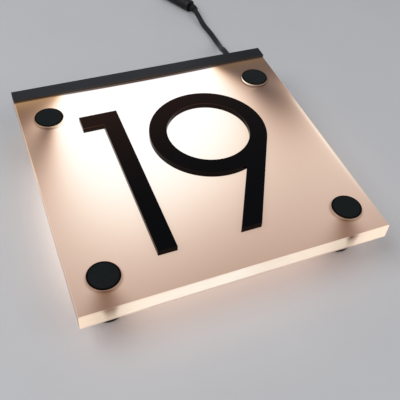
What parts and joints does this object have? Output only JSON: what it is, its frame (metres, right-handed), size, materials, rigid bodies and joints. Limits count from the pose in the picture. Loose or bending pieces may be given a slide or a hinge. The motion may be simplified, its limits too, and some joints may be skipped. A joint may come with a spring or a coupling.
{
  "type": "illuminated house number sign",
  "caption": "Square satin acrylic house number sign, edge-lit from an LED channel along its top, with raised numerals and screw caps on round standoffs.",
  "frame": {"origin": "middle of the sign's square footprint, on the plane of the standoffs' bases", "axes": "+X to the sign's right, +Y up the sign towards its light channel, +Z out of its face"},
  "size_m": [0.2, 0.3547, 0.0368],
  "materials": {
    "satin_acrylic": "satin, translucent, polished edges",
    "black_acrylic": "gloss black",
    "channel_aluminium": "dark grey anodised, satin",
    "clear_adhesive": "cured clear adhesive",
    "black_rubber": "matt black",
    "adhesive_tape": "white foam tape",
    "white_board": "white solder mask",
    "led_phosphor": "yellow phosphor in a white frame",
    "black_ceramic": "black glaze with tinned ends",
    "solder": "bright solder",
    "red_insulation": "smooth insulation",
    "black_insulation": "smooth insulation",
    "cable_jacket": "satin black jacket",
    "black_plastic": "fine satin moulding",
    "nickel_plate": "nickel plated",
    "nylon": "black nylon, satin",
    "dark_metal": "dark anodised, satin face and bright bevel"
  },
  "bodies": {
    "root": {"acrylic_panel": "satin_acrylic", "digit_one": "black_acrylic", "digit_nine": "black_acrylic", "top_channel": "channel_aluminium", "channel_adhesive": "clear_adhesive", "end_plug_left": "black_rubber", "end_plug_right": "black_rubber", "led_strip_tape": "adhesive_tape", "led_strip_board": "white_board", "led_chips": "led_phosphor", "led_resistors": "black_ceramic", "solder_joints": "solder", "wire_positive": "red_insulation", "wire_negative": "black_insulation", "cable_grommet": "black_rubber", "power_cable": "cable_jacket", "connector_boot": "black_rubber", "connector_body": "black_plastic", "connector_contact": "nickel_plate", "connector_pin": "nickel_plate", "standoff_top_left": "dark_metal", "rear_washer_top_left": "nylon", "standoff_top_right": "dark_metal", "rear_washer_top_right": "nylon", "standoff_bottom_left": "dark_metal", "rear_washer_bottom_left": "nylon", "standoff_bottom_right": "dark_metal", "rear_washer_bottom_right": "nylon"},
    "washer_top_left": {"front_washer_top_left": "nylon"},
    "cap_top_left": {"cap_top_left": "dark_metal"},
    "washer_top_right": {"front_washer_top_right": "nylon"},
    "cap_top_right": {"cap_top_right": "dark_metal"},
    "washer_bottom_left": {"front_washer_bottom_left": "nylon"},
    "cap_bottom_left": {"cap_bottom_left": "dark_metal"},
    "washer_bottom_right": {"front_washer_bottom_right": "nylon"},
    "cap_bottom_right": {"cap_bottom_right": "dark_metal"}
  },
  "joints": [
    {"name": "washer_top_left_lift", "type": "slide", "parent": "root", "child": "washer_top_left", "axis": [0, 0, 1], "range_m": [0, 0.008]},
    {"name": "cap_top_left_unscrew", "type": "hinge", "parent": "washer_top_left", "child": "cap_top_left", "pos_m": [-0.08, 0.0635, 0.0333], "axis": [0, 0, 1], "range_deg": [0, 1908]},
    {"name": "washer_top_right_lift", "type": "slide", "parent": "root", "child": "washer_top_right", "axis": [0, 0, 1], "range_m": [0, 0.008]},
    {"name": "cap_top_right_unscrew", "type": "hinge", "parent": "washer_top_right", "child": "cap_top_right", "pos_m": [0.08, 0.0635, 0.0333], "axis": [0, 0, 1], "range_deg": [0, 1908]},
    {"name": "washer_bottom_left_lift", "type": "slide", "parent": "root", "child": "washer_bottom_left", "axis": [0, 0, 1], "range_m": [0, 0.008]},
    {"name": "cap_bottom_left_unscrew", "type": "hinge", "parent": "washer_bottom_left", "child": "cap_bottom_left", "pos_m": [-0.08, -0.079, 0.0333], "axis": [0, 0, 1], "range_deg": [0, 1908]},
    {"name": "washer_bottom_right_lift", "type": "slide", "parent": "root", "child": "washer_bottom_right", "axis": [0, 0, 1], "range_m": [0, 0.008]},
    {"name": "cap_bottom_right_unscrew", "type": "hinge", "parent": "washer_bottom_right", "child": "cap_bottom_right", "pos_m": [0.08, -0.079, 0.0333], "axis": [0, 0, 1], "range_deg": [0, 1908]}
  ],
  "couplings": [
    {"joint": "washer_top_left_lift", "follows": "cap_top_left_unscrew", "m_per_rad": 0.00023873},
    {"joint": "washer_top_right_lift", "follows": "cap_top_right_unscrew", "m_per_rad": 0.00023873},
    {"joint": "washer_bottom_left_lift", "follows": "cap_bottom_left_unscrew", "m_per_rad": 0.00023873},
    {"joint": "washer_bottom_right_lift", "follows": "cap_bottom_right_unscrew", "m_per_rad": 0.00023873}
  ]
}
